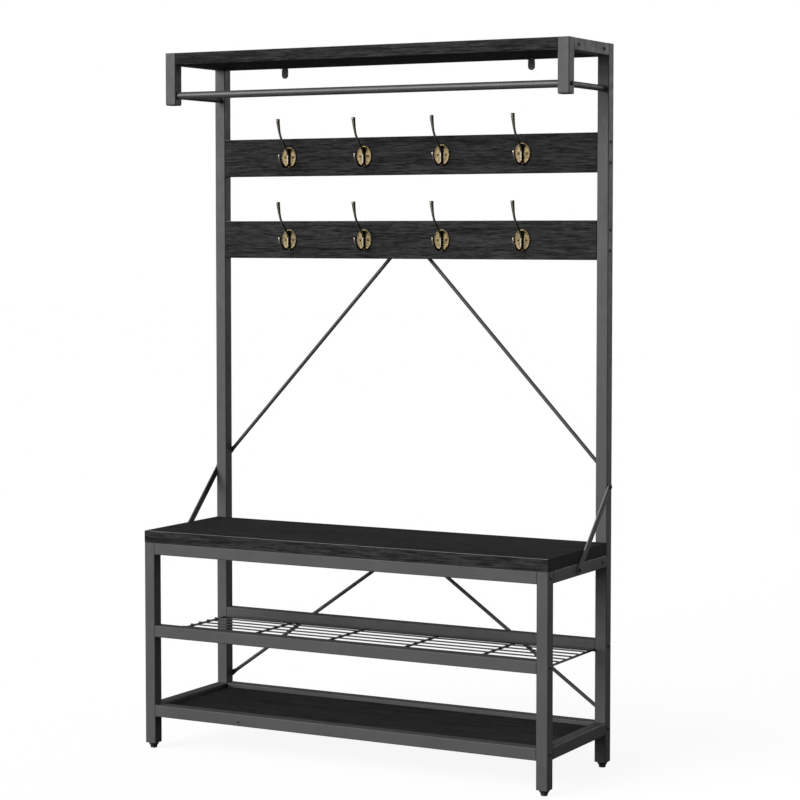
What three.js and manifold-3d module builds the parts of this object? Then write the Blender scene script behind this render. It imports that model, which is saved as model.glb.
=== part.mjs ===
// Hall tree with hooks: a square-tube frame that carries a bench seat, a mesh shelf, a low shelf,
// two hook boards, a coat rail and a top shelf.
// Millimetres, +Z up, the front faces -Y. The origin is on the floor under the middle of the object.
import * as THREE from "three";
import { mergeVertices } from "three/addons/utils/BufferGeometryUtils.js";
import Module from "manifold-3d";

const wasm = await Module();
wasm.setup();

// Driving dimensions
const WIDTH = 1200; // over the outer faces of the tubes
const HEIGHT = 1882; // floor to the top of the top shelf
const FRAME_DEPTH = 392; // front face of the front legs to the rear face of the uprights
const TUBE = 32; // side of every square tube
const WALL = 1.5; // wall of every tube
const TUBE_CORNER = 2.5; // outer corner radius of the square tubes
const GAP = 0.3; // left between pieces that touch
const CUT_PAST = 1; // how far a cutting solid runs past what it cuts
const BOLT = 6; // thread diameter of the joint bolts
const BOLT_HOLE = 6.6;

// Heights above the floor
const LEG_END = 15; // the levelling feet fill the space below
const LOWER_RAIL_TOP = 120;
const MESH_RAIL_TOP = 337;
const SEAT_RAIL_TOP = 561;
const BRACE_STRAP_TOP = 737; // upper bolt of the side straps
const LOWER_HOOK_BOARD_MIDDLE = 1377;
const UPPER_HOOK_BOARD_MIDDLE = 1603.5;
const COAT_RAIL_MIDDLE = 1767;
const SHORT_POST_END = 1745;

// Boards
const BOARD = 32; // thickness of the seat, top and hook boards
const HOOK_BOARD_HEIGHT = 103;
const LOW_BOARD = 18; // thickness of the low shelf
const LOW_BOARD_TOP = 109;
const BOARD_EDGE = 1; // chamfer along the board edges
const TOP_SHELF_FRONT = 113; // front face of the top shelf, behind the front legs' faces

// Mesh shelf
const WIRE = 4;
const WIRES = 8;
const WIRE_PITCH = 40.5;
const WIRE_MIDDLE = 315; // height of the wires' centre lines
const CROSSBAR = 6;
const CROSSBAR_PITCH = 229;
const CROSSBARS = 4; // between the two end bars
const WELD = 0.6; // how far wires sink into the crossbars

// Coat rail and the arms below the top shelf
const COAT_RAIL = 20;
const ARM = 16;

// Rear brace rods
const BRACE = 10;
const BRACE_TAB = 3; // thickness of the flattened ends
const BRACE_TAB_WIDTH = 15;
const BRACE_TAB_LENGTH = 26;
const BRACE_OVERLAP = 8; // how far the rod runs into each flattened end
const BRACE_FOOT_X = 587; // the bolts into the uprights, from the middle
const BRACE_HEAD_X = 12; // the bolts under the apex
const UPPER_BRACE = { head: 1378, foot: 765 };
const LOWER_BRACE = { head: 538, foot: 133 };

// Side straps and their bolts
const STRAP = 3;
const STRAP_WIDTH = 20;
const STRAP_FOOT_DEPTH = 182; // lower bolt, behind the front plane
const HEAD = 12;
const HEAD_RISE = 4;
const HEAD_CROWN = [[0, 1], [0.25, 1], [0.42, 0.6], [0.5, 0]]; // shares of the head's width and rise
const SHANK = 14; // how far a bolt reaches into its tube

// Hooks
const HOOKS_PER_BOARD = 4;
const HOOK_PITCH = 237.5;
const HOOK_PLATE = { width: 46, height: 58, thickness: 3 };
const HOOK_PLATE_EDGE = 1; // bevel on both faces of the back plate
const HOOK_ROD = 6.4;
const HOOK_FLARE = [ // radius and height of the tall prong's flared end, from its domed top down
  [0, 1.5], [4, 1], [5.8, 0], [5.8, -1.5], [5.2, -3], [5, -14], [4, -24], [HOOK_ROD / 2, -36],
];
const HOOK_BALL = 8; // on the small prong's tip
const HOOK_LINE = [ // centre line from the small prong's tip to the tall prong's tip: forward, up
  [53, 5], [52, -8], [38, -21], [20, -27], [6, -24], [4.5, -4],
  [7, 10], [22, 28], [40, 46], [53, 70], [60.5, 102],
];

// Wall brackets: a flat under the top shelf and a solid tongue that hangs from it
const BRACKET = { width: 20, sheet: 2.5, drop: 29, reach: 30, x: 376, depth: 371 };

// Levelling feet and plugs
const FOOT = { top: 28, sole: 18, edge: 1, skirt: 4, rim: 2 };
const STEM = 8;
const STEM_LENGTH = 26;
const INSERT_HEIGHT = 24;
const INSERT_CORNER = 1;
const PLUG_DEPTH = 14; // how far a post plug reaches into its tube
const PLUG_DOME = 4;
const PLUG_TAPER = 3;

const BRACE_STANDOFF = GAP + BRACE; // how far the rods reach behind the uprights
const FRONT = -(FRAME_DEPTH + BRACE_STANDOFF) / 2; // y of the front plane
const REAR = FRONT + FRAME_DEPTH;
const LEG_X = (WIDTH - TUBE) / 2;
const FRONT_LEG_Y = FRONT + TUBE / 2;
const UPRIGHT_Y = REAR - TUBE / 2;
const SHORT_POST_Y = FRONT + TOP_SHELF_FRONT + TUBE / 2;
const CLEAR_WIDTH = WIDTH - 2 * TUBE - 2 * GAP; // of a piece that fits between the side frames
const CLEAR_DEPTH = FRAME_DEPTH - 2 * TUBE - 2 * GAP; // of a piece between the front and rear tubes
const SIDES = { left: -1, right: 1 };

const LOOKS = {
  steel: { color: 0x4b4c4e, roughness: 0.5, metalness: 0.4 },
  board: { color: 0x242425, roughness: 0.6, metalness: 0 },
  bronze: { color: 0x7a643c, roughness: 0.4, metalness: 0.9 },
  bolt: { color: 0x1c1c1d, roughness: 0.35, metalness: 0.7 },
  plastic: { color: 0x111112, roughness: 0.6, metalness: 0 },
};

const group = new THREE.Group();
group.name = "hall_tree_with_hooks";

// A closed three.js geometry as a manifold solid.
function solid(geometry) {
  geometry.deleteAttribute("normal");
  geometry.deleteAttribute("uv");
  const welded = mergeVertices(geometry, 1e-4);
  return new wasm.Manifold(
    new wasm.Mesh({
      numProp: 3,
      vertProperties: welded.attributes.position.array,
      triVerts: new Uint32Array(welded.index.array),
    }),
  );
}

// Adds one named piece to the group, with its own material.
function piece(name, body, look, x = 0, y = 0, z = 0) {
  const mesh = body.getMesh();
  const geometry = new THREE.BufferGeometry();
  geometry.setAttribute("position", new THREE.BufferAttribute(mesh.vertProperties, 3));
  geometry.setIndex(new THREE.BufferAttribute(mesh.triVerts, 1));
  geometry.computeVertexNormals();
  const made = new THREE.Mesh(geometry, new THREE.MeshStandardMaterial(LOOKS[look]));
  made.name = name;
  made.position.set(x, y, z);
  group.add(made);
  return made;
}

function roundedRectangle(width, height, radius) {
  const shape = new THREE.Shape();
  const x = width / 2 - radius;
  const y = height / 2 - radius;
  shape.absarc(x, y, radius, 0, Math.PI / 2);
  shape.absarc(-x, y, radius, Math.PI / 2, Math.PI);
  shape.absarc(-x, -y, radius, Math.PI, 1.5 * Math.PI);
  shape.absarc(x, -y, radius, 1.5 * Math.PI, 2 * Math.PI);
  return shape;
}

// A bar with round ends between two hole centres, along +X, with a hole at each end.
function slottedBar(length, width, hole) {
  const shape = new THREE.Shape();
  shape.absarc(length, 0, width / 2, -Math.PI / 2, Math.PI / 2);
  shape.absarc(0, 0, width / 2, Math.PI / 2, 1.5 * Math.PI);
  for (const x of [0, length]) {
    const path = new THREE.Path();
    path.absarc(x, 0, hole / 2, 0, 2 * Math.PI);
    shape.holes.push(path);
  }
  return shape;
}

function cylinderAlongX(diameter, length, segments = 24) {
  return new THREE.CylinderGeometry(diameter / 2, diameter / 2, length, segments).rotateZ(Math.PI / 2);
}

// A square tube that starts at the origin and runs up +Z; a capped one is closed at its top.
function squareTube(length, capped = false) {
  const outer = roundedRectangle(TUBE, TUBE, TUBE_CORNER);
  const inner = roundedRectangle(TUBE - 2 * WALL, TUBE - 2 * WALL, TUBE_CORNER - WALL);
  const end = capped ? length - WALL : length + CUT_PAST;
  const steps = { bevelEnabled: false, curveSegments: 4 };
  const skin = solid(new THREE.ExtrudeGeometry(outer, { ...steps, depth: length }));
  const core = new THREE.ExtrudeGeometry(inner, { ...steps, depth: end + CUT_PAST });
  return skin.subtract(solid(core.translate(0, 0, -CUT_PAST)));
}

// A bolt hole along X through what lies between two x values.
function drill(from, to, y, z) {
  const hole = cylinderAlongX(BOLT_HOLE, Math.abs(to - from));
  return solid(hole.translate((from + to) / 2, y, z));
}

// A round tube along +Z, centred on the origin and open at both ends.
function roundTube(diameter, length) {
  const outer = diameter / 2;
  const inner = outer - WALL;
  const half = length / 2;
  const profile = [[inner, -half], [outer, -half], [outer, half], [inner, half], [inner, -half]];
  const points = profile.map(([r, z]) => new THREE.Vector2(r, z));
  return solid(new THREE.LatheGeometry(points, 32).rotateX(Math.PI / 2));
}

// A board centred on the origin in x and y, with its underside at z = 0 and chamfered edges.
function board(width, depth, thickness) {
  const shape = new THREE.Shape();
  const x = width / 2 - BOARD_EDGE;
  const y = depth / 2 - BOARD_EDGE;
  shape.moveTo(-x, -y).lineTo(x, -y).lineTo(x, y).lineTo(-x, y).closePath();
  const geometry = new THREE.ExtrudeGeometry(shape, {
    depth: thickness - 2 * BOARD_EDGE,
    bevelEnabled: true,
    bevelThickness: BOARD_EDGE,
    bevelSize: BOARD_EDGE,
    bevelSegments: 1,
  });
  return solid(geometry.translate(0, 0, BOARD_EDGE));
}

// Side frames: front leg, upright and the two side rails, with the straps that stiffen the back.
const strapFootZ = SEAT_RAIL_TOP - TUBE / 2;
const strapFootY = FRONT + STRAP_FOOT_DEPTH;
const strapRun = UPRIGHT_Y - strapFootY;
const strapRise = BRACE_STRAP_TOP - strapFootZ;
for (const [side, sign] of Object.entries(SIDES)) {
  const outerWall = [sign * (TUBE / 2 - 2 * WALL), sign * (TUBE / 2 + CUT_PAST)];

  const upright = squareTube(HEIGHT - LEG_END, true);
  const strapHole = drill(...outerWall, 0, BRACE_STRAP_TOP - LEG_END);
  piece(side + "_upright", upright.subtract(strapHole), "steel", sign * LEG_X, UPRIGHT_Y, LEG_END);

  const leg = squareTube(SEAT_RAIL_TOP - LEG_END);
  piece(side + "_front_leg", leg, "steel", sign * LEG_X, FRONT_LEG_Y, LEG_END);

  const railStart = FRONT + TUBE + GAP;
  const seatRail = squareTube(CLEAR_DEPTH).subtract(drill(...outerWall, 0, strapFootY - railStart));
  const seatSide = piece(side + "_seat_side_rail", seatRail, "steel", sign * LEG_X, railStart, strapFootZ);
  seatSide.rotation.x = -Math.PI / 2;

  const lowZ = LOWER_RAIL_TOP - TUBE / 2;
  const lowRail = squareTube(CLEAR_DEPTH);
  const lowSide = piece(side + "_lower_side_rail", lowRail, "steel", sign * LEG_X, railStart, lowZ);
  lowSide.rotation.x = -Math.PI / 2;

  const shape = slottedBar(Math.hypot(strapRun, strapRise), STRAP_WIDTH, BOLT_HOLE);
  const strap = new THREE.ExtrudeGeometry(shape, { depth: STRAP, bevelEnabled: false });
  strap.rotateZ(Math.atan2(strapRise, strapRun));
  const toSidePlane = new THREE.Matrix4().makeBasis(
    new THREE.Vector3(0, 1, 0),
    new THREE.Vector3(0, 0, 1),
    new THREE.Vector3(1, 0, 0),
  );
  strap.applyMatrix4(toSidePlane);
  const inner = WIDTH / 2 + GAP;
  const strapX = sign > 0 ? inner : -inner - STRAP;
  piece(side + "_side_strap", solid(strap), "steel", strapX, strapFootY, strapFootZ);
}

// Cross rails between the side frames, at seat, mesh and low shelf height.
const LEVELS = { seat: SEAT_RAIL_TOP, mesh: MESH_RAIL_TOP, lower: LOWER_RAIL_TOP };
for (const [level, top] of Object.entries(LEVELS))
  for (const [place, y] of Object.entries({ front: FRONT_LEG_Y, rear: UPRIGHT_Y })) {
    const name = place + "_" + level + "_rail";
    const rail = piece(name, squareTube(CLEAR_WIDTH), "steel", -CLEAR_WIDTH / 2, y, top - TUBE / 2);
    rail.rotation.y = Math.PI / 2;
  }

// Seat: one board on top of the legs and rails, up to the front faces of the uprights.
const seatDepth = FRAME_DEPTH - TUBE - GAP;
const seatBoard = board(WIDTH, seatDepth, BOARD);
piece("seat_board", seatBoard, "board", 0, FRONT + seatDepth / 2, SEAT_RAIL_TOP + GAP);

// Low shelf: a thinner board let into its tube frame.
const bayMiddle = FRONT + FRAME_DEPTH / 2;
const lowBoard = board(CLEAR_WIDTH, CLEAR_DEPTH, LOW_BOARD);
piece("lower_shelf_board", lowBoard, "board", 0, bayMiddle, LOW_BOARD_TOP - LOW_BOARD);

// Mesh shelf: long wires welded on crossbars that run from the front rail to the rear rail.
const endBarX = (CLEAR_WIDTH - CROSSBAR) / 2;
const crossbarX = [-endBarX, endBarX];
for (let i = 0; i < CROSSBARS; i++) crossbarX.push((i - (CROSSBARS - 1) / 2) * CROSSBAR_PITCH);
const crossbarZ = -(WIRE + CROSSBAR) / 2 + WELD;
let mesh = null;
for (let i = 0; i < WIRES; i++) {
  const y = (i - (WIRES - 1) / 2) * WIRE_PITCH;
  const wire = solid(cylinderAlongX(WIRE, 2 * endBarX + WIRE, 10).translate(0, y, 0));
  mesh = mesh ? mesh.add(wire) : wire;
}
for (const x of crossbarX) {
  const bar = new THREE.CylinderGeometry(CROSSBAR / 2, CROSSBAR / 2, CLEAR_DEPTH, 12);
  mesh = mesh.add(solid(bar.translate(x, 0, crossbarZ)));
}
piece("mesh_shelf", mesh, "steel", 0, bayMiddle, WIRE_MIDDLE);

// Top: board between two side rails, short posts with a coat rail between them, and arms below.
const topRailZ = HEIGHT - TUBE / 2;
const armStart = SHORT_POST_Y + TUBE / 2 + GAP;
const armLength = UPRIGHT_Y - TUBE / 2 - GAP - armStart;
for (const [side, sign] of Object.entries(SIDES)) {
  const boltZ = COAT_RAIL_MIDDLE - SHORT_POST_END;
  const post = squareTube(HEIGHT - SHORT_POST_END, true).subtract(drill(-TUBE, TUBE, 0, boltZ));
  piece(side + "_short_post", post, "steel", sign * LEG_X, SHORT_POST_Y, SHORT_POST_END);

  const topRail = squareTube(armLength);
  const rail = piece(side + "_top_side_rail", topRail, "steel", sign * LEG_X, armStart, topRailZ);
  rail.rotation.x = -Math.PI / 2;

  const armMiddle = armStart + armLength / 2;
  const armTube = roundTube(ARM, armLength);
  const arm = piece(side + "_lower_arm", armTube, "steel", sign * LEG_X, armMiddle, COAT_RAIL_MIDDLE);
  arm.rotation.x = Math.PI / 2;

  const insertSide = TUBE - 2 * WALL - 2 * GAP;
  const insert = new THREE.BoxGeometry(insertSide, insertSide, PLUG_DEPTH + 2 * GAP);
  insert.translate(0, 0, PLUG_DEPTH / 2 - GAP);
  const brim = TUBE / 2 - GAP;
  const dome = new THREE.CylinderGeometry(brim, brim - PLUG_TAPER, PLUG_DOME, 4, 1, false, Math.PI / 4);
  dome.scale(Math.SQRT2, 1, Math.SQRT2).rotateX(Math.PI / 2).translate(0, 0, -PLUG_DOME / 2 - GAP);
  const plug = solid(insert).add(solid(dome));
  piece(side + "_post_plug", plug, "plastic", sign * LEG_X, SHORT_POST_Y, SHORT_POST_END);
}
const topDepth = FRAME_DEPTH - TOP_SHELF_FRONT;
const topBoard = board(CLEAR_WIDTH, topDepth, BOARD);
piece("top_shelf_board", topBoard, "board", 0, REAR - topDepth / 2, HEIGHT - BOARD);
const coatTube = roundTube(COAT_RAIL, CLEAR_WIDTH);
const coatRail = piece("coat_rail", coatTube, "steel", 0, SHORT_POST_Y, COAT_RAIL_MIDDLE);
coatRail.rotation.y = Math.PI / 2;

// Hook boards between the uprights, each with a row of hooks.
function hook() {
  const { width, height, thickness } = HOOK_PLATE;
  const oval = new THREE.Shape().absellipse(0, 0, width / 2, height / 2, 0, 2 * Math.PI);
  const plate = new THREE.ExtrudeGeometry(oval, {
    depth: thickness - 2 * HOOK_PLATE_EDGE,
    bevelEnabled: true,
    bevelThickness: HOOK_PLATE_EDGE,
    bevelSize: HOOK_PLATE_EDGE,
    bevelOffset: -HOOK_PLATE_EDGE,
    bevelSegments: 1,
    curveSegments: 12,
  });
  const line = new THREE.CatmullRomCurve3(HOOK_LINE.map(([out, up]) => new THREE.Vector3(0, -out, up)));
  const section = new THREE.Shape().absarc(0, 0, HOOK_ROD / 2, 0, 2 * Math.PI);
  const rod = new THREE.ExtrudeGeometry(section, { steps: 26, curveSegments: 4, extrudePath: line });
  const tip = line.getPoint(1);
  const lean = Math.atan2(-line.getTangent(1).y, line.getTangent(1).z);
  const profile = [...HOOK_FLARE, [0, HOOK_FLARE.at(-1)[1]]];
  const flare = new THREE.LatheGeometry(profile.map(([r, z]) => new THREE.Vector2(r, z)).reverse(), 16);
  flare.rotateX(Math.PI / 2 + lean);
  const ball = new THREE.SphereGeometry(HOOK_BALL / 2, 10, 6);
  const [out, up] = HOOK_LINE[0];
  return solid(plate.rotateX(Math.PI / 2))
    .add(solid(rod))
    .add(solid(flare.translate(tip.x, tip.y, tip.z)))
    .add(solid(ball.translate(0, -out, up)));
}
const hookBody = hook();
const BOARD_ROWS = { upper: UPPER_HOOK_BOARD_MIDDLE, lower: LOWER_HOOK_BOARD_MIDDLE };
for (const [row, middle] of Object.entries(BOARD_ROWS)) {
  const hookBoard = board(CLEAR_WIDTH, BOARD, HOOK_BOARD_HEIGHT);
  piece(row + "_hook_board", hookBoard, "board", 0, UPRIGHT_Y, middle - HOOK_BOARD_HEIGHT / 2);
  for (let i = 0; i < HOOKS_PER_BOARD; i++) {
    const x = (i - (HOOKS_PER_BOARD - 1) / 2) * HOOK_PITCH;
    piece(row + "_hook_" + (i + 1), hookBody, "bronze", x, REAR - TUBE - GAP - HOOK_PLATE_EDGE, middle);
  }
}

// Rear braces: round rods with flattened, bolted ends, behind the uprights.
function brace(headZ, footZ) {
  const run = BRACE_FOOT_X - BRACE_HEAD_X;
  const length = Math.hypot(run, headZ - footZ);
  const rod = cylinderAlongX(BRACE, length - 2 * (BRACE_TAB_LENGTH - BRACE_OVERLAP), 16);
  let body = solid(rod.translate(length / 2, 0, 0));
  for (const [x, turn] of [[0, 0], [length, Math.PI]]) {
    const shape = new THREE.Shape();
    const half = BRACE_TAB_WIDTH / 2;
    shape.absarc(0, 0, half, Math.PI / 2, 1.5 * Math.PI);
    shape.lineTo(BRACE_TAB_LENGTH, -BRACE / 2).lineTo(BRACE_TAB_LENGTH, BRACE / 2);
    const hole = new THREE.Path().absarc(0, 0, BOLT_HOLE / 2, 0, 2 * Math.PI);
    shape.holes.push(hole);
    const tab = new THREE.ExtrudeGeometry(shape, { depth: BRACE_TAB, bevelEnabled: false });
    tab.rotateZ(turn).rotateX(Math.PI / 2).translate(x, BRACE_TAB - BRACE / 2, 0);
    body = body.add(solid(tab));
  }
  return body;
}
for (const [row, { head, foot }] of Object.entries({ upper: UPPER_BRACE, lower: LOWER_BRACE }))
  for (const [side, sign] of Object.entries(SIDES)) {
    const slope = Math.atan2(head - foot, BRACE_FOOT_X - BRACE_HEAD_X);
    const y = REAR + GAP + BRACE / 2;
    const rod = piece(side + "_" + row + "_brace", brace(head, foot), "steel", sign * BRACE_HEAD_X, y, head);
    rod.rotation.y = sign > 0 ? slope : Math.PI - slope;
  }

// Wall brackets under the top shelf.
const bracketX = { left: -BRACKET.x, right: BRACKET.x };
for (const [side, x] of Object.entries(bracketX)) {
  const half = BRACKET.width / 2;
  const tongue = new THREE.Shape();
  tongue.absarc(0, half - BRACKET.drop, half, Math.PI, 2 * Math.PI).lineTo(half, 0).lineTo(-half, 0);
  const upright = new THREE.ExtrudeGeometry(tongue, { depth: BRACKET.sheet, bevelEnabled: false });
  const flat = new THREE.BoxGeometry(BRACKET.width, BRACKET.reach, BRACKET.sheet);
  flat.translate(0, -BRACKET.reach / 2, -BRACKET.sheet / 2);
  const body = solid(upright.rotateX(Math.PI / 2)).add(solid(flat));
  piece(side + "_wall_bracket", body, "steel", x, FRONT + BRACKET.depth, HEIGHT - BOARD - GAP);
}

// Button-head bolts: the side straps' four and the coat rail's two. They point along +X.
function bolt(shank) {
  const head = HEAD_CROWN.map(([across, up]) => [across * HEAD, up * HEAD_RISE]);
  const profile = [...head, [BOLT / 2, 0], [BOLT / 2, -shank], [0, -shank]];
  const points = profile.map(([r, z]) => new THREE.Vector2(r, z)).reverse();
  return solid(new THREE.LatheGeometry(points, 20).rotateZ(-Math.PI / 2));
}
for (const [side, sign] of Object.entries(SIDES)) {
  const strapFace = WIDTH / 2 + GAP + STRAP + GAP;
  const ends = {
    strap_top_bolt: [strapFace, UPRIGHT_Y, BRACE_STRAP_TOP, SHANK],
    strap_foot_bolt: [strapFace, strapFootY, strapFootZ, SHANK],
    coat_rail_bolt: [WIDTH / 2 + GAP, SHORT_POST_Y, COAT_RAIL_MIDDLE, TUBE + SHANK],
  };
  for (const [name, [x, y, z, shank]] of Object.entries(ends)) {
    const made = piece(side + "_" + name, bolt(shank), "bolt", sign * x, y, z);
    if (sign < 0) made.rotation.z = Math.PI;
  }
}

// Levelling feet, each screwed into an insert in the end of its leg.
function levellingFoot() {
  const top = LEG_END - GAP;
  const sole = FOOT.sole / 2;
  const rim = FOOT.top / 2;
  const profile = [
    [0, 0], [sole - FOOT.edge, 0], [sole, FOOT.edge], [sole, FOOT.skirt], [rim, top - FOOT.rim],
    [rim, top], [STEM / 2, top], [STEM / 2, top + STEM_LENGTH], [0, top + STEM_LENGTH],
  ];
  const points = profile.map(([r, z]) => new THREE.Vector2(r, z));
  return solid(new THREE.LatheGeometry(points, 28).rotateX(Math.PI / 2));
}
function legInsert() {
  const side = TUBE - 2 * WALL - 2 * GAP;
  const block = new THREE.ExtrudeGeometry(roundedRectangle(side, side, INSERT_CORNER), {
    depth: INSERT_HEIGHT,
    bevelEnabled: false,
    curveSegments: 3,
  });
  const hole = new THREE.CylinderGeometry(STEM / 2 + GAP, STEM / 2 + GAP, 3 * INSERT_HEIGHT, 24);
  return solid(block).subtract(solid(hole.rotateX(Math.PI / 2)));
}
for (const [side, sign] of Object.entries(SIDES))
  for (const [place, y] of Object.entries({ front: FRONT_LEG_Y, rear: UPRIGHT_Y })) {
    piece(side + "_" + place + "_leg_insert", legInsert(), "plastic", sign * LEG_X, y, LEG_END);
    piece(side + "_" + place + "_levelling_foot", levellingFoot(), "plastic", sign * LEG_X, y, 0);
  }

export default group;
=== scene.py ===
import math

import bmesh
import bpy
from bpy.props import FloatProperty, FloatVectorProperty, IntProperty, PointerProperty
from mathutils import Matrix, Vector


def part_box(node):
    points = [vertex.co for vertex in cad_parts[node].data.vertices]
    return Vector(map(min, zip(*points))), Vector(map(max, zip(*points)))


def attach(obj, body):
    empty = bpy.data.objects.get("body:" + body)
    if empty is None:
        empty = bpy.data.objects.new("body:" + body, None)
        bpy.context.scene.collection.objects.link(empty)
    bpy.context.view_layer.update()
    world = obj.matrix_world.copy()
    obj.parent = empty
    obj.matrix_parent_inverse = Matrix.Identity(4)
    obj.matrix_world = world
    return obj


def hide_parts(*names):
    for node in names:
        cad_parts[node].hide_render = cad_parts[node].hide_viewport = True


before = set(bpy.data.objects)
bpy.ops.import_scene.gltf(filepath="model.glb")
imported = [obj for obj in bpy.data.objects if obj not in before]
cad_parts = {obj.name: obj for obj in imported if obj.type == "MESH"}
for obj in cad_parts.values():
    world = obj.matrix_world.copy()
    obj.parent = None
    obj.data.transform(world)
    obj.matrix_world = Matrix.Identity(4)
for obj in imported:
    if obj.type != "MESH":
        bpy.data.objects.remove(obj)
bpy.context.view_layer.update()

bl_info = {
    "name": "Hall Tree",
    "version": (1, 0, 0),
    "blender": (4, 5, 0),
    "location": "View3D > Sidebar > Hall Tree",
    "description": "Builds the finished surfaces of a hall tree round its fixed frame",
    "category": "Add Mesh",
}

SIDES = ("left", "right")
X, Y, Z = Vector((1, 0, 0)), Vector((0, 1, 0)), Vector((0, 0, 1))
MM = 0.001
SMOOTH_ANGLE = math.radians(35)
SHARP_ANGLE = math.radians(50)  # edges that turn by more than this get rounded
SAME_WAY = 0.99  # cosine above which two directions count as one
NEAR = 0.1 * MM  # how close to a face's plane counts as on it


class HallTreeSizes(bpy.types.PropertyGroup):
    """Sizes of the details that the finished surfaces add to the frame"""

    tube_corner: FloatProperty(
        name="Tube corner", description="Outer corner radius of the square tubes",
        default=0.0025, min=0.0005, max=0.006, unit="LENGTH",
    )
    tube_wall: FloatProperty(
        name="Tube wall", description="Wall seen in the open tube ends",
        default=0.0015, min=0.0005, max=0.003, unit="LENGTH",
    )
    board_edge: FloatProperty(
        name="Board edge", description="Rounding along the board edges",
        default=0.0012, min=0.0002, max=0.004, unit="LENGTH",
    )
    plate_edge: FloatProperty(
        name="Plate edge", description="Rounding along straps, tabs and brackets",
        default=0.0004, min=0.0001, max=0.001, unit="LENGTH",
    )
    flare: FloatProperty(
        name="Flare", description="Diameter of the flared end of a hook's tall prong",
        default=0.0116, min=0.008, max=0.016, unit="LENGTH",
    )
    fin: FloatProperty(
        name="Fin", description="Thickness of the upright fin on a hook's plate",
        default=0.004, min=0.002, max=0.008, unit="LENGTH",
    )
    bolt_head: FloatProperty(
        name="Bolt head", description="Diameter of the joint bolts' heads",
        default=0.010, min=0.006, max=0.014, unit="LENGTH",
    )
    round_sides: IntProperty(
        name="Round sides", description="Faces round a rail, rod or arm",
        default=40, min=12, max=96,
    )


class HallTreeColours(bpy.types.PropertyGroup):
    """Colours of the finishes"""

    steel: FloatVectorProperty(
        name="Steel", description="Powder coat on the tubes",
        subtype="COLOR", default=(0.041, 0.0415, 0.0425), min=0, max=1,
    )
    mesh: FloatVectorProperty(
        name="Mesh shelf", description="Powder coat on the wires and crossbars",
        subtype="COLOR", default=(0.024, 0.0243, 0.025), min=0, max=1,
    )
    rail: FloatVectorProperty(
        name="Coat rail", description="Smoother coat on the coat rail",
        subtype="COLOR", default=(0.05, 0.0505, 0.0515), min=0, max=1,
    )
    board: FloatVectorProperty(
        name="Board", description="Dark ground of the wood grain",
        subtype="COLOR", default=(0.0062, 0.0062, 0.0065), min=0, max=1,
    )
    grain: FloatVectorProperty(
        name="Grain", description="Lighter lines of the wood grain",
        subtype="COLOR", default=(0.039, 0.039, 0.0397), min=0, max=1,
    )
    bronze: FloatVectorProperty(
        name="Bronze", description="Painted prong highlight of the hooks",
        subtype="COLOR", default=(0.115, 0.087, 0.044), min=0, max=1,
    )
    # Used for random darker patches on the plate, and as painted shade on the fin and prongs.
    patina_and_shade: FloatVectorProperty(
        name="Patina", description="Darkened metal of the hooks",
        subtype="COLOR", default=(0.02, 0.0175, 0.014), min=0, max=1,
    )
    # Colour of the painted highlight on the prongs' front and under faces.
    prong_highlight: FloatVectorProperty(
        name="Painted prong highlight", description="Painted highlight on the front and under faces of the hooks' prongs",
        subtype="COLOR", default=(0.60, 0.55, 0.46), min=0, max=1,
    )
    bolt: FloatVectorProperty(
        name="Bolt", description="Black coating on bolts and screws",
        subtype="COLOR", default=(0.02, 0.02, 0.021), min=0, max=1,
    )
    plastic: FloatVectorProperty(
        name="Plastic", description="Feet, plugs and inserts",
        subtype="COLOR", default=(0.012, 0.012, 0.012), min=0, max=1,
    )
    floor: FloatVectorProperty(
        name="Floor", description="Pale floor under the hall tree",
        subtype="COLOR", default=(0.9, 0.9, 0.9), min=0, max=1,
    )


def sizes():
    return bpy.context.scene.hall_tree_sizes


def colours():
    return bpy.context.scene.hall_tree_colours


# Modelling steps

def clear_selection():
    if bpy.context.object and bpy.context.object.mode != "OBJECT":
        bpy.ops.object.mode_set(mode="OBJECT")
    bpy.ops.object.select_all(action="DESELECT")


def activate(piece):
    clear_selection()
    piece.select_set(True)
    bpy.context.view_layer.objects.active = piece


def select_where(piece, kind, test):
    """In edit mode, selects only the vertices, edges or faces for which test is true."""
    bpy.ops.mesh.select_all(action="DESELECT")
    bpy.ops.mesh.select_mode(type=kind)
    shape = bmesh.from_edit_mesh(piece.data)
    chosen = {"VERT": shape.verts, "EDGE": shape.edges, "FACE": shape.faces}[kind]
    found = [element for element in chosen if test(element)]
    if not found:
        raise RuntimeError(f"{piece.name}: nothing to select")
    for element in found:
        element.select_set(True)
    shape.select_flush_mode()
    bmesh.update_edit_mesh(piece.data)


def settle(piece):
    """Puts the object at the origin with its place in its mesh."""
    activate(piece)
    bpy.ops.object.transform_apply(location=True, rotation=True, scale=True)
    piece.rotation_mode = "XYZ"


def new_piece(name):
    piece = bpy.context.object
    piece.name = name
    piece.data.name = name
    return piece


def smooth(piece):
    """Smooth shading on curves, with broad flat faces kept flat."""
    activate(piece)
    bpy.ops.object.shade_smooth_by_angle(angle=SMOOTH_ANGLE)
    bpy.ops.object.modifier_add(type="WEIGHTED_NORMAL")
    weighting = piece.modifiers[-1]
    weighting.weight = 100
    weighting.keep_sharp = True
    bpy.ops.object.modifier_apply(modifier=weighting.name)


def face_outwards(piece):
    activate(piece)
    bpy.ops.object.mode_set(mode="EDIT")
    bpy.ops.mesh.select_all(action="SELECT")
    bpy.ops.mesh.normals_make_consistent(inside=False)
    bpy.ops.object.mode_set(mode="OBJECT")


def bevel_edges(piece, width, segments, test):
    activate(piece)
    bpy.ops.object.mode_set(mode="EDIT")
    select_where(piece, "EDGE", test)
    bpy.ops.mesh.bevel(offset=width, segments=segments, affect="EDGES", clamp_overlap=True)
    bpy.ops.object.mode_set(mode="OBJECT")


def is_sharp(edge):
    return len(edge.link_faces) == 2 and edge.calc_face_angle() > SHARP_ANGLE


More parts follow.
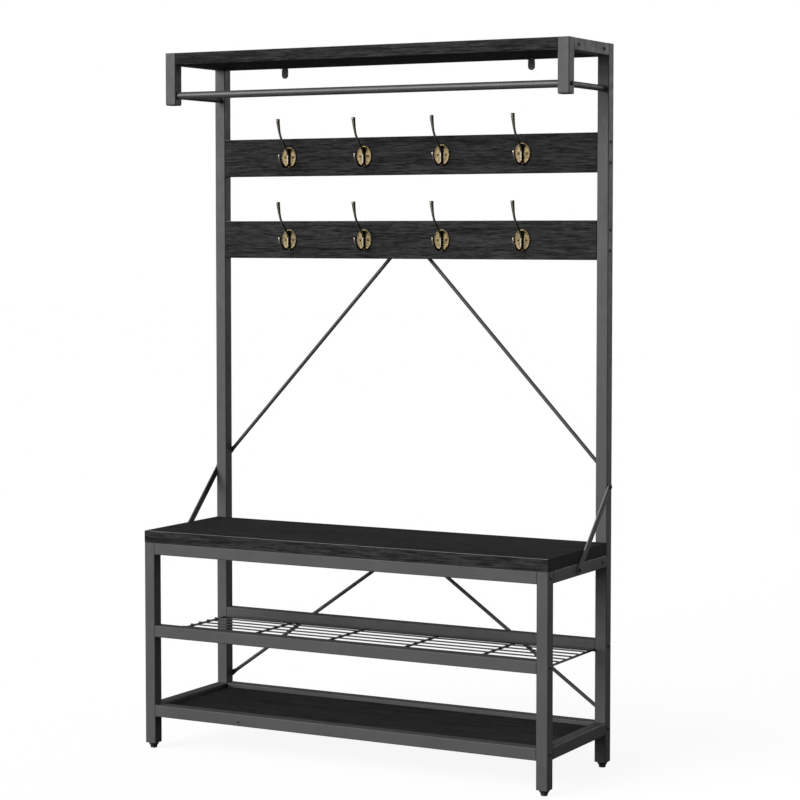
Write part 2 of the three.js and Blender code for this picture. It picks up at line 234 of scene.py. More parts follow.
def block(name, low, high):
    clear_selection()
    low, high = Vector(low), Vector(high)
    bpy.ops.mesh.primitive_cube_add(size=1, location=(low + high) / 2, scale=high - low)
    piece = new_piece(name)
    settle(piece)
    return piece


def turned(name, profile, sides=32):
    """A round piece about +Z, drawn up ring by ring through (radius, height) points."""
    clear_selection()
    radius, height = profile[0]
    bpy.ops.mesh.primitive_circle_add(
        vertices=sides, radius=radius, fill_type="NGON", location=(0, 0, height),
    )
    piece = new_piece(name)
    settle(piece)
    bpy.ops.object.mode_set(mode="EDIT")
    bpy.ops.mesh.select_all(action="SELECT")
    for next_radius, next_height in profile[1:]:
        bpy.ops.mesh.extrude_region_move(
            TRANSFORM_OT_translate={"value": (0, 0, next_height - height)},
        )
        share = next_radius / radius
        bpy.ops.transform.resize(
            value=(share, share, 1), center_override=(0, 0, next_height),
        )
        radius, height = next_radius, next_height
    bpy.ops.object.mode_set(mode="OBJECT")
    face_outwards(piece)
    smooth(piece)
    return piece


def in_millimetres(profile):
    return [(radius * MM, height * MM) for radius, height in profile]


def aim(piece, direction, place):
    """Turns a piece made about +Z to point along direction, and moves it to place."""
    piece.rotation_mode = "QUATERNION"
    piece.rotation_quaternion = Vector(direction).to_track_quat("Z", "Y")
    piece.location = place
    settle(piece)
    return piece


def copy_of(piece, name, place):
    """A copy with its own mesh, moved by place."""
    activate(piece)
    bpy.ops.object.duplicate(linked=False)
    copy = new_piece(name)
    copy.location = place
    settle(copy)
    return copy


def join(name, parts):
    clear_selection()
    for part in parts:
        part.select_set(True)
    bpy.context.view_layer.objects.active = parts[0]
    bpy.ops.object.join()
    return new_piece(name)


def discard(piece):
    activate(piece)
    bpy.ops.object.delete()


def cut_away(piece, cutter):
    """Takes the cutter's shape out of the piece, and leaves the piece active."""
    activate(piece)
    cut = piece.modifiers.new("cut", "BOOLEAN")
    cut.operation = "DIFFERENCE"
    cut.object = cutter
    cut.solver = "EXACT"
    bpy.ops.object.modifier_apply(modifier=cut.name)
    discard(cutter)
    activate(piece)


def complete(piece, material, replaced=(), body="frame"):
    """Gives a piece its finish and says what it rides on and stands for."""
    smooth(piece)
    piece.data.materials.clear()
    piece.data.materials.append(material)
    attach(piece, body)
    if replaced:
        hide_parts(*replaced)


# Finishes

class Finish:
    """One node material, built up from patterns on Object coordinates."""

    def __init__(self, name, roughness, metallic=0.0):
        self.material = bpy.data.materials.new(name)
        self.material.use_nodes = True
        self.nodes = self.material.node_tree.nodes
        self.links = self.material.node_tree.links
        self.shader = self.nodes["Principled BSDF"]
        self.shader.inputs["Roughness"].default_value = roughness
        self.shader.inputs["Metallic"].default_value = metallic
        self.place = self.nodes.new("ShaderNodeTexCoord").outputs["Object"]

    def stretched(self, scale):
        mapping = self.nodes.new("ShaderNodeMapping")
        mapping.inputs["Scale"].default_value = scale
        self.links.new(self.place, mapping.inputs["Vector"])
        return mapping.outputs["Vector"]

    def facing(self, axis):
        """How far the surface faces along +axis, from -1 to 1."""
        coordinates = self.nodes.new("ShaderNodeTexCoord")
        split = self.nodes.new("ShaderNodeSeparateXYZ")
        self.links.new(coordinates.outputs["Normal"], split.inputs["Vector"])
        return split.outputs[axis]

    def noise(self, scale, detail=3.0, roughness=0.5, vector=None, distortion=0.0):
        node = self.nodes.new("ShaderNodeTexNoise")
        node.inputs["Scale"].default_value = scale
        node.inputs["Detail"].default_value = detail
        node.inputs["Roughness"].default_value = roughness
        node.inputs["Distortion"].default_value = distortion
        self.links.new(vector or self.place, node.inputs["Vector"])
        return node.outputs["Fac"]

    def spread(self, value, low, high, to_low=0.0, to_high=1.0):
        node = self.nodes.new("ShaderNodeMapRange")
        for name, number in (
            ("From Min", low), ("From Max", high), ("To Min", to_low), ("To Max", to_high),
        ):
            node.inputs[name].default_value = number
        self.links.new(value, node.inputs["Value"])
        return node.outputs["Result"]

    def blend(self, factor, first, second):
        node = self.nodes.new("ShaderNodeMix")
        node.data_type = "RGBA"
        self.links.new(factor, node.inputs["Factor"])
        for socket, colour in ((node.inputs[6], first), (node.inputs[7], second)):
            if isinstance(colour, bpy.types.NodeSocket):
                self.links.new(colour, socket)
            else:
                socket.default_value = (*colour, 1)
        return node.outputs[2]

    def combine(self, operation, first, second):
        node = self.nodes.new("ShaderNodeMath")
        node.operation = operation
        for socket, value in zip(node.inputs, (first, second)):
            if isinstance(value, bpy.types.NodeSocket):
                self.links.new(value, socket)
            else:
                socket.default_value = value
        return node.outputs["Value"]

    def colour(self, value):
        self.links.new(value, self.shader.inputs["Base Color"])

    def rough(self, value):
        self.links.new(value, self.shader.inputs["Roughness"])

    def relief(self, height, strength, depth):
        node = self.nodes.new("ShaderNodeBump")
        node.inputs["Strength"].default_value = strength
        node.inputs["Distance"].default_value = depth
        self.links.new(height, node.inputs["Height"])
        self.links.new(node.outputs["Normal"], self.shader.inputs["Normal"])


def shade(colour, share):
    return tuple(min(1, channel * share) for channel in colour)


def powder_coat(name, colour, low, high, texture, edge=1.0):
    """Satin powder coat: orange peel, a slow drift in tone, and a painted highlight on the narrow edges
    of flat bars.
    """
    finish = Finish(name, (low + high) / 2)
    finish.shader.inputs["Specular IOR Level"].default_value = 0.36
    tone = finish.spread(finish.noise(7, 4), 0.35, 0.65)
    speck = finish.spread(finish.noise(1500, 2), 0.4, 0.7)
    ground = finish.blend(tone, shade(colour, 0.9), shade(colour, 1.1))
    coat = finish.blend(finish.combine("MULTIPLY", speck, 0.25), ground, shade(colour, 1.5))
    # Painted highlight: faces that don't face along X, the narrow edges and ends of a flat bar, are
    # lightened by the edge share.
    if edge > 1:
        across = finish.combine("ABSOLUTE", finish.facing("X"), 0)
        coat = finish.blend(finish.spread(across, 0.6, 0.3), coat, shade(colour, edge))
    finish.colour(coat)
    finish.rough(finish.spread(finish.noise(38, 5), 0.3, 0.7, low, high))
    finish.relief(finish.noise(650, 3), texture, 0.0002)
    return finish.material


def black_wood_grain():
    """Black laminate with grain along X: broad streaks, fine lines and short pores."""
    finish = Finish("black_wood_grain", 0.5)
    finish.shader.inputs["Specular IOR Level"].default_value = 0.04
    chosen = colours()
    streaks = finish.noise(1, 6, 0.6, finish.stretched((2.2, 55, 55)), 0.6)
    lines = finish.noise(1, 4, 0.6, finish.stretched((20, 300, 300)), 0.3)
    pores = finish.spread(finish.noise(1, 2, 0.5, finish.stretched((38, 900, 900))), 0.56, 0.66)
    both = finish.combine("ADD", finish.combine("MULTIPLY", streaks, 0.3),
                          finish.combine("MULTIPLY", lines, 0.7))
    figure = finish.spread(both, 0.40, 0.60)
    ground = finish.blend(figure, chosen.board, chosen.grain)
    grained = finish.blend(pores, ground, shade(chosen.board, 0.5))
    # Painted highlight: the bevels between top and front, and between underside and back, get a colour
    # five times lighter than the grain.
    corner = finish.combine("MULTIPLY", finish.facing("Z"), finish.facing("Y"))
    painted_highlight = finish.spread(corner, -0.18, -0.42)
    finish.colour(finish.blend(painted_highlight, grained, shade(chosen.grain, 5)))
    finish.rough(finish.spread(lines, 0.3, 0.7, 0.6, 0.76))
    finish.relief(finish.combine("SUBTRACT", both, finish.combine("MULTIPLY", pores, 0.4)), 0.5, 0.0005)
    return finish.material


def antique_bronze():
    """Bronze: warm on the plate with random darker patches; the fin and prongs are painted dark as
    painted shade, and the prongs' front and under faces carry a painted highlight.
    """
    finish = Finish("antique_bronze", 0.38, metallic=1.0)
    chosen = colours()
    hook_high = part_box("upper_hook_1")[1]
    split = finish.nodes.new("ShaderNodeSeparateXYZ")
    finish.links.new(finish.place, split.inputs["Vector"])
    # Painted shade: parts standing more than a few millimetres forward of the plate's back, the fin and
    # prongs, are painted dark in place of the dark reflections on them.
    front = hook_high.y - 4.5 * MM
    reach = finish.spread(split.outputs["Y"], front, front - 2.5 * MM, 0.0, 0.9)
    mottle = finish.spread(finish.noise(210, 5, 0.6), 0.40, 0.66, 0.0, 0.55)
    mottled_and_painted_shade = finish.blend(finish.combine("MAXIMUM", reach, mottle), chosen.bronze, chosen.patina_and_shade)
    # Painted highlight on the prongs' front and under faces; the fin, nearer the plate, is kept out of
    # it.
    clear = finish.spread(split.outputs["Y"], front - 5 * MM, front - 11 * MM)
    outward = finish.combine("ADD", finish.combine("MULTIPLY", finish.facing("Y"), 0.9),
                             finish.combine("MULTIPLY", finish.facing("Z"), 0.45))
    painted_highlight = finish.combine("MULTIPLY", finish.spread(outward, -0.76, -0.9), clear)
    finish.colour(finish.blend(painted_highlight, mottled_and_painted_shade, chosen.prong_highlight))
    finish.rough(finish.spread(finish.noise(420, 4), 0.3, 0.7, 0.24, 0.44))
    finish.relief(finish.noise(700, 4), 0.25, 0.0003)
    return finish.material


def black_bolt():
    """Black oxide: dark metal with a fine uneven gloss."""
    finish = Finish("black_bolt", 0.36, metallic=0.6)
    chosen = colours()
    tone = finish.spread(finish.noise(600, 3), 0.35, 0.65)
    finish.colour(finish.blend(tone, shade(chosen.bolt, 0.7), shade(chosen.bolt, 1.6)))
    finish.rough(finish.spread(finish.noise(900, 3), 0.3, 0.7, 0.28, 0.46))
    finish.relief(finish.noise(1300, 2), 0.2, 0.0001)
    return finish.material


def moulded_plastic():
    """Matt black moulding with a fine eroded texture."""
    finish = Finish("moulded_plastic", 0.58)
    chosen = colours()
    tone = finish.spread(finish.noise(60, 3), 0.3, 0.7)
    finish.colour(finish.blend(tone, shade(chosen.plastic, 0.8), shade(chosen.plastic, 1.5)))
    finish.rough(finish.spread(finish.noise(300, 3), 0.3, 0.7, 0.5, 0.66))
    finish.relief(finish.noise(1800, 2), 0.3, 0.0001)
    return finish.material


MAKERS = {
    "steel": lambda: powder_coat("powder_coat", colours().steel, 0.46, 0.60, 0.22),
    # The straps' narrow edges carry a painted highlight, 4.5 times lighter than the coat.
    "strap": lambda: powder_coat("strap_coat", colours().steel, 0.40, 0.54, 0.15, 4.5),
    "mesh": lambda: powder_coat("mesh_coat", colours().mesh, 0.40, 0.54, 0.15),
    "rail": lambda: powder_coat("rail_coat", colours().rail, 0.28, 0.36, 0.08),
    "board": black_wood_grain,
    "bronze": antique_bronze,
    "bolt": black_bolt,
    "plastic": moulded_plastic,
}
MADE = {}


def finish_of(kind):
    if kind not in MADE:
        MADE[kind] = MAKERS[kind]()
    return MADE[kind]


# The square tubes, with the axis each one runs along and which ends are closed
TUBES = {}
for side in SIDES:
    TUBES[side + "_upright"] = (Z, "top")
    TUBES[side + "_short_post"] = (Z, "top")
    TUBES[side + "_front_leg"] = (Z, "")
    for rail in ("seat_side_rail", "lower_side_rail", "top_side_rail"):
        TUBES[f"{side}_{rail}"] = (Y, "")
for row in ("seat", "mesh", "lower"):
    for place in ("front", "rear"):
        TUBES[f"{place}_{row}_rail"] = (X, "")
END_RECESS = 0.03
TOP_ARRIS = 0.5 * MM  # rounding round a closed top end
RAIL_ARRIS = 0.6 * MM


class HALLTREE_OT_square_tubes(bpy.types.Operator):
    """Models every square tube with rolled corners and hollow ends"""

    bl_idname = "hall_tree.square_tubes"
    bl_label = "Square tubes"

    def execute(self, context):
        for node, (axis, closed) in TUBES.items():
            low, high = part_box(node)
            piece = block(node + "_tube", low, high)
            bevel_edges(
                piece, sizes().tube_corner, 4,
                lambda e: abs((e.verts[1].co - e.verts[0].co).normalized().dot(axis)) > SAME_WAY,
            )
            ends = [-1] if closed else [-1, 1]
            for end in ends:
                bpy.ops.object.mode_set(mode="EDIT")
                select_where(piece, "FACE", lambda f: f.normal.dot(axis * end) > SAME_WAY)
                bpy.ops.mesh.inset(thickness=sizes().tube_wall)
                bpy.ops.mesh.extrude_region_move(
                    TRANSFORM_OT_translate={"value": axis * (-end * END_RECESS)},
                )
                bpy.ops.object.mode_set(mode="OBJECT")
            if closed:
                bevel_edges(
                    piece, TOP_ARRIS, 2,
                    lambda e: is_sharp(e) and min(v.co.z for v in e.verts) > high.z - NEAR,
                )
            complete(piece, finish_of("steel"), [node])
        return {"FINISHED"}


class HALLTREE_OT_round_rails(bpy.types.Operator):
    """Models the coat rail and the two arms under the top shelf"""

    bl_idname = "hall_tree.round_rails"
    bl_label = "Coat rail and arms"

    def execute(self, context):
        rails = {"coat_rail": (X, "rail", "coat_rail_steel")}
        for side in SIDES:
            rails[side + "_lower_arm"] = (Y, "steel", "frame_steel")
        for node, (axis, kind, slot) in rails.items():
            low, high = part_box(node)
            half = (high - low).dot(axis) / 2
            radius = (high.z - low.z) / 2
            profile = [
                (radius - RAIL_ARRIS, -half), (radius, -half + RAIL_ARRIS),
                (radius, half - RAIL_ARRIS), (radius - RAIL_ARRIS, half),
            ]
            piece = turned(node + "_tube", profile, sizes().round_sides)
            aim(piece, axis, (low + high) / 2)
            complete(piece, finish_of(kind), [node])
        return {"FINISHED"}


class HALLTREE_OT_boards(bpy.types.Operator):
    """Models the seat, the shelves and the hook boards, with rounded edges"""

    bl_idname = "hall_tree.boards"
    bl_label = "Boards"

    def execute(self, context):
        for node in (
            "seat_board", "lower_shelf_board", "top_shelf_board",
            "upper_hook_board", "lower_hook_board",
        ):
            piece = block(node + "_panel", *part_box(node))
            bevel_edges(piece, sizes().board_edge, 3, is_sharp)
            complete(piece, finish_of("board"), [node])
        return {"FINISHED"}


WIRES = 8
WIRE_PITCH = 0.0405
WIRE_RADIUS = 0.002
CROSSBAR_RADIUS = 0.003
CROSSBAR_PITCH = 0.229
INNER_CROSSBARS = 4
WIRE_ARRIS = 0.4 * MM
WELD = (  # radius and height of each ring of a weld, in millimetres
    (0.8, -1.6), (2.6, -0.9), (3.1, 0), (2.6, 0.9), (0.8, 1.6),
)


class HALLTREE_OT_mesh_shelf(bpy.types.Operator):
    """Models the wire shelf: long wires welded across bars"""

    bl_idname = "hall_tree.mesh_shelf"
    bl_label = "Mesh shelf"

    def execute(self, context):
        low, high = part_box("mesh_shelf")
        middle = (low + high) / 2

        def rod(radius, half):
            return turned("rod", [
                (radius - WIRE_ARRIS, -half), (radius, -half + WIRE_ARRIS),
                (radius, half - WIRE_ARRIS), (radius - WIRE_ARRIS, half),
            ], 16)

        wire = rod(WIRE_RADIUS, (high.x - low.x) / 2)
        aim(wire, X, (0, middle.y, high.z - WIRE_RADIUS))
        bar = rod(CROSSBAR_RADIUS, (high.y - low.y) / 2)
        aim(bar, Y, (0, middle.y, low.z + CROSSBAR_RADIUS))
        weld = turned("weld", in_millimetres(WELD), 10)
        aim(weld, Z, (0, middle.y, high.z - 2 * WIRE_RADIUS))
        across = [(i - (WIRES - 1) / 2) * WIRE_PITCH for i in range(WIRES)]
        end = (high.x - low.x) / 2 - CROSSBAR_RADIUS
        along = [(i - (INNER_CROSSBARS - 1) / 2) * CROSSBAR_PITCH for i in range(INNER_CROSSBARS)]
        along += [-end, end]
        parts = [copy_of(wire, "wire", (0, y, 0)) for y in across]
        parts += [copy_of(bar, "bar", (x, 0, 0)) for x in along]
        parts += [copy_of(weld, "weld", (x, y, 0)) for x in along for y in across]
        for pattern in (wire, bar, weld):
            discard(pattern)
        shelf = join("mesh_shelf_wires", parts)
        complete(shelf, finish_of("mesh"), ["mesh_shelf"])
        return {"FINISHED"}


def flat_bar(name, length, width, thickness):
    """A bar with round ends along +X from the origin, with its underside at z = 0."""
    clear_selection()
    bpy.ops.mesh.primitive_circle_add(vertices=64, radius=width / 2, fill_type="NGON")
    piece = new_piece(name)
    bpy.ops.object.mode_set(mode="EDIT")
    select_where(piece, "VERT", lambda v: v.co.x > 0.01 * MM)
    bpy.ops.transform.translate(value=(length, 0, 0))
    bpy.ops.mesh.select_all(action="SELECT")
    bpy.ops.mesh.extrude_region_move(TRANSFORM_OT_translate={"value": (0, 0, thickness)})
    bpy.ops.object.mode_set(mode="OBJECT")
    face_outwards(piece)
    bevel_edges(piece, sizes().plate_edge, 2, is_sharp)
    return piece


STRAP_WIDTH = 0.020


class HALLTREE_OT_side_straps(bpy.types.Operator):
    """Models the slanting flat straps on the outer faces"""

    bl_idname = "hall_tree.side_straps"
    bl_label = "Side straps"

    def execute(self, context):
        for side in SIDES:
            node = side + "_side_strap"
            low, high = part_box(node)
            half = STRAP_WIDTH / 2
            run, rise = high.y - low.y - STRAP_WIDTH, high.z - low.z - STRAP_WIDTH
            piece = flat_bar(node + "_bar", math.hypot(run, rise), STRAP_WIDTH, high.x - low.x)
            # The bar's flat side turns from +Z to +X, and its length into the YZ plane.
            piece.rotation_euler = (math.pi / 2, 0, math.pi / 2)
            settle(piece)
            piece.rotation_euler = (math.atan2(rise, run), 0, 0)
            piece.location = (low.x, low.y + half, low.z + half)
            settle(piece)
            complete(piece, finish_of("strap"), [node])
        return {"FINISHED"}


BRACE_RADIUS = 0.005
TAB = {"thickness": 0.003, "width": 0.015, "length": 0.022}
FLATTENING = 0.012
TAB_GRIP = {"thickness": 0.96, "width": 0.98}  # the rod's end as a share of the tab's section


class HALLTREE_OT_rear_braces(bpy.types.Operator):
    """Models the rear brace rods with their pressed flat ends"""

    bl_idname = "hall_tree.rear_braces"
    bl_label = "Rear braces"

    def execute(self, context):
        for side, sign in zip(SIDES, (-1, 1)):
            for row in ("upper", "lower"):
                node = f"{side}_{row}_brace"
                low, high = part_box(node)
                half = TAB["width"] / 2
                head = Vector((high.x - half if sign < 0 else low.x + half, 0, high.z - half))
                foot = Vector((low.x + half if sign < 0 else high.x - half, 0, low.z + half))
                span = (foot - head).length
                rod_half = span / 2 - TAB["length"] - FLATTENING
                rod = turned("rod", [(BRACE_RADIUS, -rod_half), (BRACE_RADIUS, rod_half)], 24)
                self.flatten(rod, rod_half)
                aim(rod, X, (span / 2, 0, 0))
                parts = [rod]
                for start, turn in ((0, 0), (span, math.pi)):
                    tab = flat_bar("tab", TAB["length"], TAB["width"], TAB["thickness"])
                    tab.rotation_euler = (math.pi / 2, 0, 0)
                    tab.location = (0, TAB["thickness"] - BRACE_RADIUS, 0)
                    settle(tab)
                    tab.rotation_euler = (0, turn, 0)
                    tab.location = (start, 0, 0)
                    settle(tab)
                    parts.append(tab)
                piece = join(node + "_rod", parts)
                line = foot - head
                piece.rotation_euler = (0, math.atan2(-line.z, line.x), 0)
                piece.location = (head.x, high.y - BRACE_RADIUS, head.z)
                settle(piece)
                complete(piece, finish_of("steel"), [node])
        return {"FINISHED"}

    def flatten(self, rod, rod_half):
        """Draws both ends of a rod about +Z out to the tab's section, on the side of -X.

        Aimed along X, the rod's own X becomes the frame's Y.
        """
        bpy.ops.object.mode_set(mode="EDIT")
        for end in (-1, 1):
            select_where(rod, "FACE", lambda f: f.normal.z * end > SAME_WAY)
            bpy.ops.mesh.extrude_region_move(
                TRANSFORM_OT_translate={"value": (0, 0, end * FLATTENING)},
            )
            bpy.ops.transform.resize(
                value=(
                    TAB["thickness"] / 2 / BRACE_RADIUS * TAB_GRIP["thickness"],
                    TAB["width"] / 2 / BRACE_RADIUS * TAB_GRIP["width"],
                    1,
                ),
                center_override=(0, 0, end * (rod_half + FLATTENING)),
            )
            bpy.ops.transform.translate(value=(TAB["thickness"] / 2 - BRACE_RADIUS, 0, 0))
        bpy.ops.object.mode_set(mode="OBJECT")


def hexagon_socket(piece, top, across, depth):
    """Cuts a six-sided socket down from the top of a round piece about +Z."""
    clear_selection()
    bpy.ops.mesh.primitive_cylinder_add(
        vertices=6, radius=across / math.sqrt(3), depth=2 * depth, location=(0, 0, top),
    )
    cutter = new_piece("cutter")
    settle(cutter)
    cut_away(piece, cutter)


def button_bolt(name, head, rise, shank=0.0):
    """A domed bolt head on z = 0 with a six-sided socket, and a shank below it."""
    radius = head / 2
    dome = [
        (radius * math.cos(math.radians(angle)), rise * math.sin(math.radians(angle)))
        for angle in (0, 18, 36, 52, 66)
    ]
    lower = []
    if shank:
        lower = [(2.4 * MM, -shank), (3 * MM, -shank + 0.8 * MM), (3 * MM, -0.05 * MM)]
    piece = turned(name, lower + dome, 32)
    hexagon_socket(piece, rise * math.sin(math.radians(66)), 0.4 * head, 0.62 * rise)
    return piece


# Joint bolts on each outer face: distance behind the front plane and height
JOINT_BOLTS = (
    (0.1735, 1.866), (0.3315, 1.866),
    (0.376, 1.630), (0.376, 1.577), (0.376, 1.4035), (0.376, 1.3505),
    (0.376, 0.321), (0.376, 0.104), (0.337, 0.545),
    (0.016, 0.545), (0.016, 0.321), (0.016, 0.104),
)


BIG_BOLT_RISE = 4 * MM
BOLT_RISE = 2.4 * MM
BRACE_BOLT_HEAD = 9.5 * MM
LOW_RAIL_SCREW = {"head": 7 * MM, "rise": 1.6 * MM, "x": -0.304, "up": 11 * MM}


class HALLTREE_OT_bolts(bpy.types.Operator):
    """Models the bolts of the straps, the coat rail, the joints and the braces"""

    bl_idname = "hall_tree.bolts"
    bl_label = "Bolts"

    def execute(self, context):
        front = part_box("left_front_leg")[0].y
        for side, sign in zip(SIDES, (-1, 1)):
            for bolt in ("strap_top_bolt", "strap_foot_bolt", "coat_rail_bolt"):
                node = f"{side}_{bolt}"
                low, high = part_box(node)
                outer = high.x if sign > 0 else low.x
                seat = outer - sign * BIG_BOLT_RISE
                shank = (high.x - low.x) - BIG_BOLT_RISE
                piece = button_bolt(node + "_head", high.z - low.z, BIG_BOLT_RISE, shank)
                place = (seat, (low.y + high.y) / 2, (low.z + high.z) / 2)
                aim(piece, X * sign, place)
                complete(piece, finish_of("bolt"), [node])

            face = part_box(side + "_front_leg")[1 if sign > 0 else 0].x
            pattern = button_bolt("pattern", sizes().bolt_head, BOLT_RISE)
            aim(pattern, X * sign, (face, 0, 0))
            heads = [
                copy_of(pattern, "head", (0, front + depth, height))
                for depth, height in JOINT_BOLTS
            ]
            discard(pattern)
            complete(join(side + "_joint_bolts", heads), finish_of("bolt"))

        heads = []
        for side, sign in zip(SIDES, (-1, 1)):
            for row in ("upper", "lower"):
                low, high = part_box(f"{side}_{row}_brace")
                half = TAB["width"] / 2
                back = low.y + TAB["thickness"]
                inner, outer = low.x + half, high.x - half
                if sign < 0:
                    inner, outer = outer, inner
                for x, z in ((inner, high.z - half), (outer, low.z + half)):
                    head = button_bolt("head", BRACE_BOLT_HEAD, BOLT_RISE)
                    heads.append(aim(head, Y, (x, back, z)))
        complete(join("brace_bolts", heads), finish_of("bolt"))

        screw = button_bolt("low_rail_screw", LOW_RAIL_SCREW["head"], LOW_RAIL_SCREW["rise"])
        rail_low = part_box("front_lower_rail")[0]
        place = (LOW_RAIL_SCREW["x"], rail_low.y, rail_low.z + LOW_RAIL_SCREW["up"])
        aim(screw, -Y, place)
        complete(screw, finish_of("bolt"))
        return {"FINISHED"}


# A hook's two prongs: forward, up and radius of each section, in millimetres
TALL_PRONG = (
    (6, -2, 2.9), (7.5, 8, 3.0), (11, 16, 3.0), (16.5, 22.5, 3.0), (22, 28, 3.0),
    (28, 33.6, 3.0), (34, 39.6, 3.0), (40, 46, 3.1), (45, 53, 3.15), (49.5, 61, 3.2),
    (53, 70, 3.5), (55.6, 79, 4.1), (57.9, 88, 4.7), (60.0, 98.6, 5.1),
)
SMALL_PRONG = (
    (5, -21, 2.8), (11, -25, 3.0), (20, -27, 3.1), (29.5, -25.4, 3.1), (38, -21, 3.15),
    (45.5, -14.8, 3.3), (50.5, -8, 3.5), (52.8, -1.5, 3.8), (53.2, 4.6, 3.9),
)
PLATE = {"width": 46 * MM, "height": 58 * MM, "thickness": 3 * MM}
FIN_DEPTH = 10 * MM
SCREW_ASIDE = 12 * MM  # how far each screw is from the plate's middle
SCREW_DEPTH = 1.4 * MM
SCREW_HEAD = (  # radius and height of each ring, in millimetres
    (3.6, -0.6), (3.6, 0.3), (3.2, 0.8), (2.2, 1.25), (1.0, 1.4),
)
# Each step of a prong's tip: advance in millimetres, and share of the last size
SMALL_TIP = ((1.7, 0.92), (1.3, 0.8), (0.8, 0.6))
DOME = ((0.4, 1.0), (1.6, 1.0), (1.1, 0.9), (0.7, 0.7), (0.3, 0.5))
FLARE_STEP = 0.5
PLATE_BACK = 0.001  # how far the plate's back lies behind the prongs' zero line


class HALLTREE_OT_hooks(bpy.types.Operator):
    """Models one double hook and copies it to every place"""

    bl_idname = "hall_tree.hooks"
    bl_label = "Hooks"

    def prong(self, name, sections, tip):
        """A tapering round bar extruded section by section, with a finished tip."""
        clear_selection()
        points = [Vector((0, -out, up)) * MM for out, up, _ in sections]
        radii = [radius * MM for _, _, radius in sections]
        bpy.ops.mesh.primitive_circle_add(vertices=20, radius=radii[0], fill_type="NGON")
        piece = new_piece(name)
        aim(piece, points[1] - points[0], points[0])
        bpy.ops.object.mode_set(mode="EDIT")
        bpy.ops.mesh.select_all(action="SELECT")
        heading = (points[1] - points[0]).normalized()
        for index in range(1, len(points)):
            here = points[index]
            bpy.ops.mesh.extrude_region_move(
                TRANSFORM_OT_translate={"value": here - points[index - 1]},
            )
            share = radii[index] / radii[index - 1]
            bpy.ops.transform.resize(value=(share,) * 3, center_override=here)
            ahead = points[min(index + 1, len(points) - 1)]
            wanted = (ahead - points[index - 1]).normalized()
            self.lean(here, heading, wanted)
            heading = wanted
        for advance, share in tip:
            here = here + heading * advance * MM
            bpy.ops.mesh.extrude_region_move(
                TRANSFORM_OT_translate={"value": heading * advance * MM},
            )
            bpy.ops.transform.resize(value=(share,) * 3, center_override=here)
        bpy.ops.object.mode_set(mode="OBJECT")
        face_outwards(piece)
        return piece

    def lean(self, centre, heading, wanted):
        """Turns the selected section about X from one heading to the next."""
        turn = math.atan2(heading.cross(wanted).x, heading.dot(wanted))
        if abs(turn) > 1e-5:
            bpy.ops.transform.rotate(value=-turn, orient_axis="X", center_override=centre)

    def plate(self, width, height, thickness):
        """The oval back plate: a raised rim round a slightly sunken face."""
        piece = turned("plate", [
            (1.0, 0), (1.0, 0.55 * thickness), (0.965, 0.86 * thickness),
            (0.91, thickness), (0.86, 0.9 * thickness), (0.80, 0.78 * thickness),
            (0.55, 0.86 * thickness), (0.25, 0.94 * thickness),
        ], 56)
        piece.scale = (width / 2, height / 2, 1)
        settle(piece)
        return aim(piece, -Y, (0, PLATE_BACK, 0))

    def fin(self, depth):
        """The narrow upright web from which both prongs spring."""
        half = sizes().fin / 2
        piece = block("fin", (-half, -depth, -25 * MM), (half, -1 * MM, 25 * MM))
        bpy.ops.object.mode_set(mode="EDIT")
        select_where(piece, "EDGE", lambda e: all(v.co.y < -0.9 * depth for v in e.verts)
                     and abs(e.verts[0].co.z - e.verts[1].co.z) < 1e-6)
        bpy.ops.mesh.bevel(offset=7 * MM, segments=5, affect="EDGES")
        bpy.ops.object.mode_set(mode="OBJECT")
        bevel_edges(piece, 0.9 * MM, 3, is_sharp)
        return piece

    def screw(self, x, depth):
        """A raised countersunk screw head with a cross recess."""
        head = turned("screw", in_millimetres(SCREW_HEAD), 24)
        for turn in (0, math.pi / 2):
            clear_selection()
            bpy.ops.mesh.primitive_cube_add(size=1, location=(0, 0, 1.3 * MM),
                                            scale=(4 * MM, 0.8 * MM, 1.4 * MM))
            cutter = new_piece("cutter")
            cutter.rotation_euler = (0, 0, turn)
            settle(cutter)
            cut_away(head, cutter)
        return aim(head, -Y, (x, -depth, 0))

    def execute(self, context):
        flare_share = sizes().flare / 2 / (TALL_PRONG[-1][2] * MM)
        tall = self.prong("tall", TALL_PRONG, ((FLARE_STEP, flare_share), *DOME))
        small = self.prong("small", SMALL_PRONG, SMALL_TIP)
        parts = [
            self.plate(PLATE["width"], PLATE["height"], PLATE["thickness"]),
            self.fin(FIN_DEPTH), tall, small,
            self.screw(-SCREW_ASIDE, SCREW_DEPTH), self.screw(SCREW_ASIDE, SCREW_DEPTH),
        ]
        pattern = join("pattern", parts)
        for row in ("upper", "lower"):
            for number in range(1, 5):
                node = f"{row}_hook_{number}"
                low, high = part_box(node)
                board_low, board_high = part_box(row + "_hook_board")
                place = ((low.x + high.x) / 2, high.y - PLATE_BACK, (board_low.z + board_high.z) / 2)
                piece = copy_of(pattern, node + "_casting", place)
                complete(piece, finish_of("bronze"), [node])
        discard(pattern)
        return {"FINISHED"}


BRACKET_SHEET = 2.5 * MM


